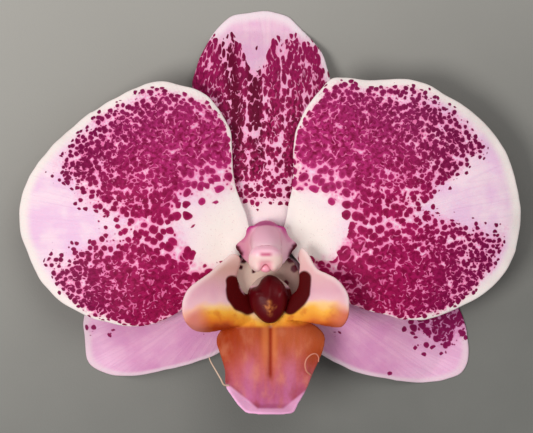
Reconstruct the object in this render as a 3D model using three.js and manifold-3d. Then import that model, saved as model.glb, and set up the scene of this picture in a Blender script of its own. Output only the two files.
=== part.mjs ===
// A picked moth orchid bloom lying face up: three sepals, two petals, the lip and the column.
// Millimetres, +Z up out of the face. X runs across the bloom and +Y points to the dorsal
// sepal. The origin is on the surface that the bloom lies on, under the middle of its outline.
import * as THREE from 'three';
import { mergeVertices } from 'three/addons/utils/BufferGeometryUtils.js';
import Module from 'manifold-3d';

// Thicknesses of the fleshy blades
const SEPAL_THICKNESS = 0.9;
const PETAL_THICKNESS = 0.8;
const LIP_THICKNESS = 1.0;
const FOOT_THICKNESS = 0.9;

// Heights above the surface at which the pieces leave the middle of the bloom
const SEPAL_CLAW_Z = 10.5;
const PETAL_CLAW_Z = 12.4;
const LIP_BASE_Z = 14.0;
const RECEPTACLE_Z = 9.7;

// The round base of the column, where every piece joins, and the clearance left between them
const HEART = new THREE.Vector2(-0.7, -5.3);
const HEART_RADIUS = 3.35;
const JOIN_GAP = 0.3;

// Dorsal sepal: its length, and how far its tip drops and its long sides curl back
const DORSAL_START_Y = -1.5;
const DORSAL_LENGTH = 44;
const DORSAL_DROP = 12.6;
const DORSAL_CURL = 2.2;

// Lateral sepals: where they start, and how far their tips drop and their sides curl back
const LATERAL_START_Y = -10;
const LATERAL_DROP = 10.2;
const LATERAL_CURL = 0.9;

// Petals: how far they reach from their claws, and how far they droop, swell and wave
const PETAL_REACH = 48;
const PETAL_DROOP = 3.6;
const PETAL_CROWN = 3.2;
const PETAL_WAVE = 0.45;

// Side lobes of the lip: where they start beside the callus, how wide and high they spread, and
// how far their front edges roll under
const SIDE_LOBE_START = 3.4;
const SIDE_LOBE_SPAN = 14.5;
const SIDE_LOBE_RISE = 5.6;
const ROLL_START_Y = -22.2;
const ROLL_DEPTH = 0.42;

// Midlobe of the lip: how far it comes forward, how its sides fall away, and its turned-up rim
const MIDLOBE_START_Y = -21.4;
const MIDLOBE_LENGTH = 21;
const MIDLOBE_RISE = 4.6;
const MIDLOBE_FALL = 0.014;
const RIM_START = 0.84;
const RIM_RISE = 2.2;
const GROOVE_X = 0.2;
const GROOVE_RADIUS = 0.5;
const GROOVE_LIFT = 0.62;

// Callus, a low dome with two blunt horns and a ridge
const CALLUS_RISE = 3.4;
const HORN_RISE = 0.9;
const RIDGE_RISE = 0.35;

// Column wings and foot
const WINGS_Z = 15.2;
const WINGS_FALL = 0.03;
const FOOT_Z = 11.6;
const FOOT_RISE = 1.1;

// Anther cap, and where the column's tip carries it
const CAP_WALL = 0.8;
const CAP_RISE = 1.9;
const CAP_HOLLOW = 1.3;
const SWELLING_RISE = 0.45;
const TIP_LEAN = 40;
const TIP_Y = -9.25;
const TIP_Z = 20;

// Pedicel: its radius at the ovary, how much it narrows, and the height of its ribs
const OVARY_RADIUS = 2.4;
const STALK_NARROWING = 0.9;
const RIB_HEIGHT = 0.16;

// Outlines seen from above, as points on a smooth closed curve
const DORSAL_OUTLINE = [
  [-4.3, -3.4], [-5.4, -1.4], [-7, 1.2], [-9.6, 4.8], [-13, 11.9], [-15.6, 18.8], [-16.2, 25.5],
  [-15.9, 29], [-14.3, 33.2], [-11.8, 37.8], [-8.2, 41.2], [-3.9, 42.2], [-0.3, 42.4], [3.7, 41.3],
  [7.4, 37.8], [10.8, 34], [12.6, 28.8], [12.8, 24.2], [11.6, 18], [8.9, 11.3], [6.3, 4.8],
  [4.9, 1.2], [3.9, -1.4], [3, -3.4],
];
const LATERAL_LEFT_OUTLINE = [
  [-2.6, -8], [-4.4, -8.6], [-7.4, -10.3], [-13.5, -11.7], [-22.9, -14.2], [-32.3, -16.7],
  [-37.9, -19], [-39.3, -22.8], [-39.1, -26.1], [-38.5, -30.9], [-36.5, -33.2], [-32.9, -34.5],
  [-28.1, -34.5], [-21.8, -33.2], [-15.3, -31.5], [-9.3, -28.6], [-4.3, -23], [-1.4, -16.3],
  [-1, -11], [-1.2, -8],
];
const LATERAL_RIGHT_OUTLINE = [
  [1.2, -8], [3, -8.6], [6, -10.4], [13.7, -12.1], [24.1, -14.2], [33.5, -16.3], [38.9, -18.8],
  [41.2, -23.6], [42.1, -29.2], [41, -33.6], [37.3, -35.3], [32.3, -36], [26.2, -35.3],
  [18.3, -33.6], [11.6, -30.3], [6.4, -26.3], [2.4, -21.5], [0, -16.3], [-0.4, -11], [-0.2, -8],
];
const PETAL_LEFT_OUTLINE = [
  [-3, -5], [-3.9, -3.2], [-4.9, -0.4], [-6.4, 3.5], [-7.6, 8.3], [-7.8, 12.9], [-8.7, 18.4],
  [-13, 24.2], [-18.7, 26.7], [-24.9, 27.1], [-32, 24], [-39.6, 19.2], [-46.7, 12.5],
  [-50.8, 6.5], [-52.5, -0.4], [-51.2, -7.5], [-47.1, -15.4], [-40.6, -20.7], [-33.9, -23.2],
  [-27.5, -24], [-21.6, -22.3], [-16.6, -19.2], [-12, -15.9], [-8.6, -12], [-6.4, -9.3],
  [-4.6, -7.6], [-3.2, -6.8],
];
const PETAL_RIGHT_OUTLINE = [
  [1.6, -5], [2.6, -3.2], [3.6, 0], [4.9, 6.5], [4.9, 12.1], [5.7, 17.5], [8.5, 22.8],
  [12.6, 27.6], [15.8, 28.1], [21.4, 27.6], [27, 27.9], [32, 27.1], [36.8, 24.6], [42.3, 21.1],
  [47.1, 16.3], [50.4, 10.4], [52.5, 1.5], [52.3, -4.8], [50.6, -10.6], [47.1, -15.4],
  [41.4, -19.2], [33.7, -22.4], [28.3, -22.5], [22.6, -21.1], [17.2, -19.4], [12.2, -16.7],
  [8, -12.8], [5.2, -9.6], [3.3, -7.6], [1.8, -6.8],
];
const SIDE_LOBE_LEFT_OUTLINE = [
  [-7.8, -9.2], [-9.9, -10.4], [-12.4, -12.5], [-14.5, -14], [-16.8, -15.8], [-18, -18.2], [-18.2, -20.4],
  [-17.5, -22.8], [-15.6, -24.6], [-12.4, -24.9], [-8.7, -24.2], [-5.1, -23.4], [-2.4, -22.6],
  [-3.5, -19.9], [-4.5, -17.5], [-5.7, -16.3], [-6.4, -14.8], [-6.8, -13.2], [-6.2, -11.3], [-6, -9.8],
];
const SIDE_LOBE_RIGHT_OUTLINE = [
  [7.2, -7.9], [8.6, -9.1], [9.1, -10.6], [10.1, -11.9], [11.8, -12.7], [13.9, -13.8], [15.4, -15.4],
  [16.4, -17.3], [16.6, -19.6], [16.3, -22], [15, -23.8], [12.3, -23.7], [9.1, -23.1], [5.6, -22.6],
  [2.6, -22.4], [3.3, -19.8], [4.6, -17.3], [5.7, -16.2], [6.2, -14.5], [6.2, -12.8], [6.3, -10.9], [6.2, -9],
];
const MIDLOBE_OUTLINE = [
  [-10.8, -25.6], [-11.1, -27.3], [-10.5, -29.2], [-9.8, -31.3], [-9.3, -33.2], [-9.3, -35.1], [-9, -36.6],
  [-8, -38], [-6.6, -39.9], [-5.5, -41], [-4.3, -41.7], [0.1, -41.9], [4.6, -41.7], [5.7, -40.1], [7, -38],
  [8.2, -35.8], [9.1, -33.6], [10.1, -31.5], [11, -29.4], [11.6, -27.1], [11.3, -25.3], [9.2, -23.4],
  [5, -21.8], [0.2, -21.4], [-5, -21.9], [-9, -23.6],
];
const LIP_BASE_OUTLINE = [
  [-3.6, -20], [-4.6, -17.6], [-4, -15.4], [-2, -13.6], [0.3, -13.2], [2.4, -14], [4.4, -16],
  [4.6, -18], [3.8, -20.4], [3, -23.2], [0.1, -23.8], [-2.8, -23.2],
];
const CALLUS_OUTLINE = [
  [-0.3, -13.1], [-1.6, -14], [-2.5, -15.4], [-4, -16.1], [-4.2, -17.9], [-3.8, -20],
  [-2.6, -21.7], [-1.2, -22.9], [0.2, -23.2], [1.6, -22.7], [2.8, -21.3], [3.5, -19.6],
  [3.8, -17.6], [3.4, -15.9], [2.6, -14.6], [1.2, -13.4],
];
const WINGS_OUTLINE = [
  [-4, -2.9], [-5.2, -5.2], [-7.1, -7], [-6.3, -8.6], [-5, -10.2], [-3.2, -11.2], [2, -11.2], [3.9, -9.6],
  [4.7, -8.4], [5.8, -6.8], [4, -5], [2.6, -2.9],
];
const FOOT_OUTLINE = [
  [-2.6, -6.6], [-3.5, -8.6], [-5.2, -10.4], [-6.6, -12.2], [-6.9, -14], [-6.3, -15.8],
  [-5.2, -17.2], [-3.4, -18.8], [0.1, -19.8], [3.2, -18.9], [5.1, -17.4], [6.2, -15.6],
  [6.4, -13.6], [5.8, -11.9], [4.1, -10.4], [2.3, -8.6], [1.2, -6.6],
];
const CAP_OUTLINE = [
  [3.6, 0.4], [2.9, 2], [1.6, 2.9], [0, 3.1], [-1.6, 2.9], [-2.9, 2], [-3.6, 0.4],
  [-3.4, -1.4], [-2.3, -2.7], [-1.3, -3.1], [-0.95, -2.1], [0, -1.6], [0.95, -2.1],
  [1.3, -3.1], [2.3, -2.7], [3.4, -1.4],
];

const wasm = await Module();
wasm.setup();

// A bell-shaped rise from 0 to 1, highest where value is at middle
function hump(value, middle, width) {
  return Math.exp(-(((value - middle) / width) ** 2));
}

// Points evenly spaced on the smooth closed curve through an outline, counterclockwise
function pointsOn(outline, count) {
  const corners = outline.map(([x, y]) => new THREE.Vector3(x, y, 0));
  if (THREE.ShapeUtils.isClockWise(corners)) {
    corners.reverse();
  }
  const curve = new THREE.CatmullRomCurve3(corners, true, 'catmullrom', 0.5);
  return curve.getSpacedPoints(count).slice(0, count);
}

// Triangles of a round web: a hub, then rings of as many points as there are spokes
function webTriangles(spokes, rings) {
  const triangles = [];
  for (let spoke = 0; spoke < spokes; spoke += 1) {
    const next = (spoke + 1) % spokes;
    triangles.push([0, 1 + spoke, 1 + next]);
    for (let ring = 1; ring < rings; ring += 1) {
      const inner = 1 + (ring - 1) * spokes;
      const outer = inner + spokes;
      triangles.push([inner + spoke, outer + spoke, outer + next]);
      triangles.push([inner + spoke, outer + next, inner + next]);
    }
  }
  return triangles;
}

// A closed body between an upper and a lower web, with a strip of triangles round its margin
function bodyBetween(upper, lower, spokes, rings) {
  const web = webTriangles(spokes, rings);
  const shift = upper.length;
  const margin = 1 + (rings - 1) * spokes;
  const triangles = web.flat();
  for (const [a, b, c] of web) {
    triangles.push(shift + a, shift + c, shift + b);
  }
  for (let spoke = 0; spoke < spokes; spoke += 1) {
    const here = margin + spoke;
    const next = margin + ((spoke + 1) % spokes);
    triangles.push(here, shift + here, shift + next);
    triangles.push(here, shift + next, next);
  }
  const geometry = new THREE.BufferGeometry().setFromPoints([...upper, ...lower]);
  geometry.setIndex(triangles);
  return geometry;
}

// The web's points over an outline: share runs from 0 at the hub to 1 at the margin
function webPoints({ outline, hub, spokes, rings }, height) {
  const margin = pointsOn(outline, spokes);
  const points = [new THREE.Vector3(hub[0], hub[1], height(hub[0], hub[1], 0))];
  for (let ring = 1; ring <= rings; ring += 1) {
    const share = ring / rings;
    for (const end of margin) {
      const x = THREE.MathUtils.lerp(hub[0], end.x, share);
      const y = THREE.MathUtils.lerp(hub[1], end.y, share);
      points.push(new THREE.Vector3(x, y, height(x, y, share)));
    }
  }
  return points;
}

// A thin blade of even thickness about the surface height(x, y, share), never below the ground
function blade(web, thickness, height) {
  const middle = webPoints(web, height);
  const surface = new THREE.BufferGeometry().setFromPoints(middle);
  surface.setIndex(webTriangles(web.spokes, web.rings).flat());
  surface.computeVertexNormals();
  const normals = surface.getAttribute('normal');
  const upper = [];
  const lower = [];
  middle.forEach((point, index) => {
    const half = new THREE.Vector3().fromBufferAttribute(normals, index).multiplyScalar(thickness / 2);
    const top = point.clone().add(half);
    const bottom = point.clone().sub(half);
    const lift = Math.max(0, -bottom.z);
    top.z += lift;
    bottom.z += lift;
    upper.push(top);
    lower.push(bottom);
  });
  return bodyBetween(upper, lower, web.spokes, web.rings);
}

// A lump between two surfaces, both given as heights over the same outline
function lump(web, top, bottom) {
  return bodyBetween(webPoints(web, top), webPoints(web, bottom), web.spokes, web.rings);
}

// A closed body through a row of rings of points, each ring with the same number of points
function loft(sections) {
  const sides = sections[0].length;
  const points = sections.flat();
  const triangles = [];
  for (let section = 0; section < sections.length - 1; section += 1) {
    for (let side = 0; side < sides; side += 1) {
      const a = section * sides + side;
      const b = section * sides + ((side + 1) % sides);
      triangles.push(a, b, b + sides);
      triangles.push(a, b + sides, a + sides);
    }
  }
  const last = (sections.length - 1) * sides;
  for (let side = 1; side < sides - 1; side += 1) {
    triangles.push(0, side + 1, side);
    triangles.push(last, last + side, last + side + 1);
  }
  const geometry = new THREE.BufferGeometry().setFromPoints(points);
  geometry.setIndex(triangles);
  return geometry;
}

// A round bar along a curve, whose radius(along, angle) may change along and around it
function bar(curve, steps, sides, radius) {
  const frames = curve.computeFrenetFrames(steps, false);
  const sections = [];
  for (let step = 0; step <= steps; step += 1) {
    const along = step / steps;
    const centre = curve.getPointAt(along);
    const ring = [];
    for (let side = 0; side < sides; side += 1) {
      const angle = (side / sides) * 2 * Math.PI;
      const reach = radius(along, angle);
      ring.push(centre.clone()
        .addScaledVector(frames.normals[step], Math.cos(angle) * reach)
        .addScaledVector(frames.binormals[step], Math.sin(angle) * reach));
    }
    sections.push(ring);
  }
  return loft(sections);
}

function smoothCurve(points) {
  return new THREE.CatmullRomCurve3(points.map(([x, y, z]) => new THREE.Vector3(x, y, z)));
}

// A shape as a solid that can be joined to others and cut by them
function solid(geometry) {
  const bare = geometry.clone();
  bare.deleteAttribute('normal');
  bare.deleteAttribute('uv');
  const merged = mergeVertices(bare);
  return new wasm.Manifold(new wasm.Mesh({
    numProp: 3,
    vertProperties: new Float32Array(merged.getAttribute('position').array),
    triVerts: new Uint32Array(merged.index.array),
  }));
}

function geometryOf(joined) {
  const mesh = joined.getMesh();
  const geometry = new THREE.BufferGeometry();
  geometry.setAttribute('position', new THREE.BufferAttribute(mesh.vertProperties, 3));
  geometry.setIndex(new THREE.BufferAttribute(mesh.triVerts, 1));
  return geometry;
}

function join(geometries) {
  return geometries.map(solid).reduce((sum, piece) => sum.add(piece));
}

// A blade whose inner end is cut round, to stand clear of the column's base
function clearOfHeart(geometry) {
  const height = 8;
  const space = new THREE.CylinderGeometry(HEART_RADIUS + JOIN_GAP, HEART_RADIUS + JOIN_GAP, height, 40);
  space.rotateX(Math.PI / 2);
  space.translate(HEART.x, HEART.y, RECEPTACLE_Z + 1);
  return geometryOf(solid(geometry).subtract(solid(space)));
}

function piece(name, geometry, colour, roughness) {
  geometry.computeVertexNormals();
  const material = new THREE.MeshStandardMaterial({ color: colour, roughness, metalness: 0 });
  const mesh = new THREE.Mesh(geometry, material);
  mesh.name = name;
  return mesh;
}

// Dorsal sepal: bends back to lie on its tip, with its long sides curled back
function dorsalSepal() {
  const web = { outline: DORSAL_OUTLINE, hub: [-1.8, 20], spokes: 44, rings: 6 };
  const height = (x, y, share) => {
    const along = THREE.MathUtils.clamp((y - DORSAL_START_Y) / DORSAL_LENGTH, 0, 1);
    const curl = DORSAL_CURL * share ** 3 * Math.sin(Math.PI * along);
    return SEPAL_CLAW_Z - DORSAL_DROP * along ** 2.4 - curl;
  };
  return piece('sepal_dorsal', clearOfHeart(blade(web, SEPAL_THICKNESS, height)), 0xc4759f, 0.5);
}

// Lateral sepal: leaves the column foot under the petal and bends back to lie on its broad tip
function lateralSepal(name, outline, hub, reach) {
  const root = new THREE.Vector2(HEART.x, LATERAL_START_Y);
  const web = { outline, hub, spokes: 44, rings: 6 };
  const height = (x, y, share) => {
    const along = root.distanceTo(new THREE.Vector2(x, y)) / reach;
    const curl = LATERAL_CURL * share ** 3 * Math.min(1, 2 * along);
    return SEPAL_CLAW_Z - LATERAL_DROP * along ** 1.7 - curl;
  };
  return piece(name, clearOfHeart(blade(web, SEPAL_THICKNESS, height)), 0xe2b9d8, 0.5);
}

// Petal: a broad crowned blade on a narrow claw, its margin drooping and gently waved
function petal(name, outline, claw, hub, waves) {
  const root = new THREE.Vector2(...claw);
  const web = { outline, hub, spokes: 60, rings: 7 };
  const height = (x, y, share) => {
    const distance = root.distanceTo(new THREE.Vector2(x, y));
    const angle = Math.atan2(y - hub[1], x - hub[0]);
    const droop = PETAL_DROOP * (distance / PETAL_REACH) ** 1.5;
    const crown = PETAL_CROWN * (1 - share * share) * (1 - hump(distance, 0, 10));
    const wave = PETAL_WAVE * share ** 4 * Math.sin(waves * angle) * Math.min(1, distance / 25);
    return PETAL_CLAW_Z - droop + crown + wave;
  };
  return piece(name, clearOfHeart(blade(web, PETAL_THICKNESS, height)), 0xb8407f, 0.5);
}

// Height of a side lobe: low beside the callus and rising outward like a shallow ear
function sideLobeHeight(x, y) {
  const beside = Math.abs(x - HEART.x) - SIDE_LOBE_START;
  const outward = THREE.MathUtils.clamp(beside / SIDE_LOBE_SPAN, 0, 1);
  const rolled = Math.max(0, ROLL_START_Y - y);
  return LIP_BASE_Z + SIDE_LOBE_RISE * Math.sin(outward * Math.PI / 2) - ROLL_DEPTH * rolled ** 1.8;
}

// Height of the midlobe: it comes forward to its tip, its sides fall away, and its rim turns up
function midlobeHeight(x, y, share) {
  const along = THREE.MathUtils.clamp((MIDLOBE_START_Y - y) / MIDLOBE_LENGTH, 0, 1);
  const outer = Math.max(0, share - RIM_START) / (1 - RIM_START);
  const rim = RIM_RISE * outer * THREE.MathUtils.smoothstep(along, 0.6, 0.85);
  return LIP_BASE_Z + MIDLOBE_RISE * along - MIDLOBE_FALL * x * x + rim;
}

// Lip: one grown piece with two side lobes, a grooved midlobe and two whiskers
function lip() {
  const leftLobe = blade(
    { outline: SIDE_LOBE_LEFT_OUTLINE, hub: [-11, -18.6], spokes: 36, rings: 5 },
    LIP_THICKNESS,
    sideLobeHeight,
  );
  const rightLobe = blade(
    { outline: SIDE_LOBE_RIGHT_OUTLINE, hub: [10, -18.2], spokes: 36, rings: 5 },
    LIP_THICKNESS,
    sideLobeHeight,
  );
  const midlobe = blade(
    { outline: MIDLOBE_OUTLINE, hub: [0.2, -31], spokes: 44, rings: 6 },
    LIP_THICKNESS,
    midlobeHeight,
  );
  const base = blade(
    { outline: LIP_BASE_OUTLINE, hub: [0, -18.4], spokes: 20, rings: 3 },
    LIP_THICKNESS,
    () => LIP_BASE_Z,
  );
  const whiskers = [
    smoothCurve([
      [-8.4, -36.1, 17], [-9.5, -35.9, 17.8], [-10.2, -34.6, 18.2], [-11.2, -32.9, 18.1],
      [-12.2, -31.2, 17.6], [-12.6, -30.2, 17],
    ]),
    smoothCurve([
      [8.6, -34, 16], [7.7, -33.1, 17], [7.4, -31.8, 17.5], [7.7, -30.6, 17.6], [8.6, -29.7, 17.5],
      [9.6, -29.5, 17.2], [10.2, -30.2, 16.9], [10.2, -31.2, 16.8],
    ]),
  ].map((curve) => bar(curve, 10, 6, (along) => 0.45 - 0.1 * along));
  const groove = smoothCurve(
    [-22.6, -26, -30, -34.6].map(
      (y) => [GROOVE_X, y, midlobeHeight(GROOVE_X, y, 0) + GROOVE_LIFT],
    ),
  );
  const body = join([leftLobe, rightLobe, midlobe, base, ...whiskers]);
  const grooved = body.subtract(solid(bar(groove, 8, 8, () => GROOVE_RADIUS)));
  return piece('lip', geometryOf(grooved), 0xc8643c, 0.45);
}

// Callus: the dark shield between the side lobes, with two blunt horns and a low ridge down it
function callus() {
  const web = { outline: CALLUS_OUTLINE, hub: [0, -18.2], spokes: 32, rings: 5 };
  const bottom = (x, y) => LIP_BASE_Z + LIP_THICKNESS / 2 + JOIN_GAP
    + 0.16 * Math.max(0, -20 - y) + 0.42 * Math.max(0, Math.abs(x - HEART.x) - 2.5);
  const top = (x, y, share) => {
    const dome = CALLUS_RISE * Math.sqrt(1 - 0.93 * share * share);
    const horns = HORN_RISE * hump(Math.abs(x), 2.9, 0.9) * hump(y, -16.6, 1.1);
    const ridge = RIDGE_RISE * hump(x, 0, 0.6) * (1 - share);
    return bottom(x, y) + dome + horns + ridge;
  };
  return piece('lip_callus', lump(web, top, bottom), 0x55040f, 0.35);
}

// Column: a bar leaning forward over the lip, with low wings at its sides and a foot like a scoop
function column() {
  const shaftCurve = smoothCurve([
    [HEART.x, HEART.y, RECEPTACLE_Z], [HEART.x, HEART.y, 12.5], [HEART.x, -6, 15.4],
    [HEART.x, -7.3, 17.8], [HEART.x, -8.9, 19.6],
  ]);
  const shaft = bar(shaftCurve, 8, 20, (along) => HEART_RADIUS - 0.3 * along ** 2);
  const wings = blade(
    { outline: WINGS_OUTLINE, hub: [-0.7, -7], spokes: 28, rings: 3 },
    FOOT_THICKNESS,
    (x) => WINGS_Z - WINGS_FALL * x * x,
  );
  const foot = blade(
    { outline: FOOT_OUTLINE, hub: [-0.2, -13], spokes: 28, rings: 4 },
    FOOT_THICKNESS,
    (x, y, share) => FOOT_Z + FOOT_RISE * share * share,
  );
  return piece('column', geometryOf(join([shaft, wings, foot])), 0xdca0b8, 0.45);
}

// The cap and the pollen under it are shaped upright and then leant forward with the column's tip
function onColumnTip(geometry) {
  geometry.rotateX(THREE.MathUtils.degToRad(TIP_LEAN));
  geometry.translate(HEART.x - 0.1, TIP_Y, TIP_Z);
  return geometry;
}

// Anther cap: a small helmet with two swellings, hollow below and notched at its front edge
function antherCap() {
  const web = { outline: CAP_OUTLINE, hub: [0, 0.4], spokes: 32, rings: 5 };
  const top = (x, y, share) => {
    const swelling = SWELLING_RISE * hump(Math.abs(x), 1.7, 1.1) * hump(y, -1, 1.2);
    return CAP_WALL + CAP_RISE * Math.sqrt(1 - 0.96 * share * share) + swelling;
  };
  const bottom = (x, y, share) => {
    const notch = 0.25 * Math.max(0, -y) * hump(x, 0, 0.9);
    return CAP_HOLLOW * (1 - share * share) + notch;
  };
  return piece('anther_cap', onColumnTip(lump(web, top, bottom)), 0xf6cdd2, 0.35);
}

// Pollinarium: two waxy pollen masses, the strap that ties them and the sticky pad at the notch
function pollinarium() {
  const masses = [-0.75, 0.75].map((x) => {
    const mass = new THREE.SphereGeometry(0.55, 12, 8);
    mass.scale(1, 1.1, 0.75);
    mass.translate(x, 0.5, 0.35);
    return mass;
  });
  const strap = new THREE.BoxGeometry(1, 2.6, 0.35);
  strap.translate(0, -0.8, -0.05);
  const pad = new THREE.CylinderGeometry(0.6, 0.6, 0.5, 16);
  pad.rotateX(Math.PI / 2);
  pad.translate(0, -2.5, 0.05);
  const bridge = new THREE.BoxGeometry(1.5, 0.5, 0.35);
  bridge.translate(0, 0.4, 0.1);
  const joined = geometryOf(join([...masses, strap, bridge, pad]));
  return piece('pollinarium', onColumnTip(joined), 0xf08ca5, 0.4);
}

// Ovary and pedicel: six-ribbed below the bloom, then a plain stalk cut square where it was picked
function pedicel() {
  const top = RECEPTACLE_Z - JOIN_GAP;
  const curve = smoothCurve([
    [HEART.x, HEART.y, top], [HEART.x, HEART.y, 8.4], [HEART.x, -4.8, 6.8], [HEART.x, -3.4, 4.6],
    [HEART.x, 0, 2.8], [HEART.x, 6, 2.3], [HEART.x + 0.4, 14, 2.3], [HEART.x + 1, 23, 2.2],
  ]);
  const radius = (along, angle) => {
    const ribbed = 1 - THREE.MathUtils.smoothstep(along, 0.45, 0.75);
    const narrowing = STALK_NARROWING * THREE.MathUtils.smoothstep(along, 0.1, 0.75);
    return OVARY_RADIUS - narrowing + RIB_HEIGHT * Math.cos(6 * angle) * ribbed;
  };
  return piece('pedicel', bar(curve, 18, 24, radius), 0xa9b67c, 0.55);
}

const bloom = new THREE.Group();
bloom.name = 'moth_orchid_bloom';
bloom.add(
  pedicel(),
  dorsalSepal(),
  lateralSepal('sepal_lateral_left', LATERAL_LEFT_OUTLINE, [-22, -23.5], 41),
  lateralSepal('sepal_lateral_right', LATERAL_RIGHT_OUTLINE, [23.5, -24], 43.5),
  petal('petal_left', PETAL_LEFT_OUTLINE, [-4.2, -6.5], [-28, 1.5], 5),
  petal('petal_right', PETAL_RIGHT_OUTLINE, [3, -6.5], [28, 3], 6),
  lip(),
  callus(),
  column(),
  antherCap(),
  pollinarium(),
);

export default bloom;
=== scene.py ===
import math
from bisect import bisect

import bmesh
import bpy
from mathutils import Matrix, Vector, noise
from mathutils.geometry import interpolate_bezier, intersect_point_line


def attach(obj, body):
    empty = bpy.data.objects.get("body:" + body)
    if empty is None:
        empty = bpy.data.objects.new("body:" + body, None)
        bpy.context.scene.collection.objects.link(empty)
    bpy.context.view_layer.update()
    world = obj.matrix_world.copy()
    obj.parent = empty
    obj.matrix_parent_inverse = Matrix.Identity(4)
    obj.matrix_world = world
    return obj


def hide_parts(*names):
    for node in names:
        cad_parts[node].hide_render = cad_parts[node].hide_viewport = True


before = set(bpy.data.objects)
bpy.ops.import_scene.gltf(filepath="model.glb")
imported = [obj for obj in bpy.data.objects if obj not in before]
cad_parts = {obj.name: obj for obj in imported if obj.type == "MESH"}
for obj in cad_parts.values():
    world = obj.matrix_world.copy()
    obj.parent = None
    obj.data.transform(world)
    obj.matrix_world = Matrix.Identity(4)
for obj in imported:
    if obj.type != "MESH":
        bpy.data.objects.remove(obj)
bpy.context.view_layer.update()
scene = bpy.context.scene


# The surface, the light and the camera
# The bloom was laid face up on a smooth grey sheet, matt and a little mottled, with painted shade
# darkening it toward the lower right. The light is broad and soft and comes from the left, and the
# camera looks straight down from above.

def paint(colour):
    """The linear colour that a shader takes, for one as the eye sees it, in parts of 255. The
    output of a node stays as it is."""
    if not isinstance(colour, tuple):
        return colour
    shares = [value / 255 for value in colour]
    return [s / 12.92 if s <= 0.04045 else ((s + 0.055) / 1.055) ** 2.4 for s in shares] + [1]


def add(kind, feeds, tree=None, **settings):
    """One more shader node. feeds sets its inputs, or joins them to other nodes' outputs, and
    then it goes in the same tree as those nodes."""
    joined = {name: it for name, it in feeds.items() if isinstance(it, bpy.types.NodeSocket)}
    for source in joined.values():
        tree = source.id_data
    node = tree.nodes.new("ShaderNode" + kind)
    for name, value in settings.items():
        setattr(node, name, value)
    for name, source in feeds.items():
        if name in joined:
            tree.links.new(source, node.inputs[name])
        else:
            node.inputs[name].default_value = source
    return node


def figure(operation, first, second=0.0, third=0.0, clamp=False):
    """A number worked out from up to three others."""
    feeds = {0: first, 1: second, 2: third}
    return add("Math", feeds, operation=operation, use_clamp=clamp).outputs[0]


def times(first, second):
    """The product of two numbers."""
    return figure("MULTIPLY", first, second)


def fade(value, start, end, low=0.0, high=1.0):
    """low where value is at start, high where it is at end, and smooth between."""
    feeds = {"Value": value, "From Min": start, "From Max": end, "To Min": low, "To Max": high}
    return add("MapRange", feeds, interpolation_type="SMOOTHSTEP").outputs[0]


def blend(share, one, other):
    """One colour laid over by another, by a share from 0 to 1."""
    feeds = {0: share, 6: paint(one), 7: paint(other)}
    return add("Mix", feeds, data_type="RGBA").outputs[2]


def coats(colour, layers):
    """A colour with others laid over it in turn, each by its share."""
    for share, over in layers:
        colour = blend(share, colour, over)
    return colour


def cloud(place, scale, detail=3.0, stretch=(1, 1, 1)):
    """Soft random noise, 0 to 1, over a place in metres or any other vector."""
    spread = add("Mapping", {"Vector": place, "Scale": stretch}).outputs[0]
    return add("TexNoise", {"Vector": spread, "Scale": scale, "Detail": detail}).outputs["Fac"]


def place_on(tree):
    """The place on a piece, in metres."""
    return add("TexCoord", {}, tree).outputs["Object"]


def new_material(name, roughness, specular=0.4):
    """A material with its shader, set to one finish all over."""
    material = bpy.data.materials.new(name)
    material.use_nodes = True
    shader = material.node_tree.nodes["Principled BSDF"]
    shader.inputs["Roughness"].default_value = roughness
    shader.inputs["Specular IOR Level"].default_value = specular
    return material, material.node_tree, shader


def finish_with(shader, colour, height, depth):
    """Joins a colour, and a fine relief of a depth in metres, to a material's shader."""
    bump = add("Bump", {"Height": height, "Distance": depth, "Strength": 1.0})
    for name, source in (("Base Color", colour), ("Normal", bump.outputs[0])):
        shader.id_data.links.new(source, shader.inputs[name])


LOOK_Z = 0.013
CAMERA_Z = 1.2
VIEW_WIDTH = 0.11126
VIEW_MIDDLE = (-0.000626, -0.000939)
FLOOR_REACH = 1.5

lens = bpy.data.cameras.new("camera")
lens.sensor_width = 36
lens.lens = lens.sensor_width * (CAMERA_Z - LOOK_Z) / VIEW_WIDTH
camera = bpy.data.objects.new("camera", lens)
camera.location = (*VIEW_MIDDLE, CAMERA_Z)
scene.collection.objects.link(camera)
scene.camera = camera
scene.view_settings.view_transform = "Standard"

for name, place, size, power in (
    ("window", (-0.48, -0.20, 0.80), 0.45, 5.2),
    ("room", (0.20, 0.50, 0.90), 0.8, 3.0),
):
    light = bpy.data.lights.new(name, "AREA")
    light.shape = "DISK"
    light.size = size
    light.energy = power
    lamp = bpy.data.objects.new(name, light)
    lamp.location = place
    lamp.rotation_euler = (-Vector(place)).to_track_quat("-Z", "Y").to_euler()
    scene.collection.objects.link(lamp)

scene.world = bpy.data.worlds.new("studio")
scene.world.use_nodes = True
sky = scene.world.node_tree.nodes["Background"]
sky.inputs["Color"].default_value = paint((238, 240, 245))
sky.inputs["Strength"].default_value = 0.42

sheet = bmesh.new()
bmesh.ops.create_grid(sheet, x_segments=8, y_segments=8, size=FLOOR_REACH)
sheet_mesh = bpy.data.meshes.new("floor")
sheet.to_mesh(sheet_mesh)
floor = bpy.data.objects.new("floor", sheet_mesh)
scene.collection.objects.link(floor)
material, tree, shader = new_material("grey_sheet", 0.6, 0.3)
place = place_on(tree)
# The sheet darkens toward the lower right, away from the window: painted shade, under a faint mottle.
toward_painted_shade = {0: place, 1: (0.55, -1, 0)}
across = add("VectorMath", toward_painted_shade, operation="DOT_PRODUCT").outputs["Value"]
grey = coats((166, 162, 154), [
    (fade(across, -0.1, 0.075), (94, 94, 89)),
    (times(cloud(place, 30), 0.2), (186, 183, 174)),
])
finish_with(shader, grey, cloud(place, 2500), depth=0.00003)
floor.data.materials.append(material)


# Ovary and pedicel
# The stalk that carried the bloom: a fleshy green tube, six-ribbed where the ovary swells below
# the flower, flushed with lilac there, and cut square where the bloom was picked.

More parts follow.
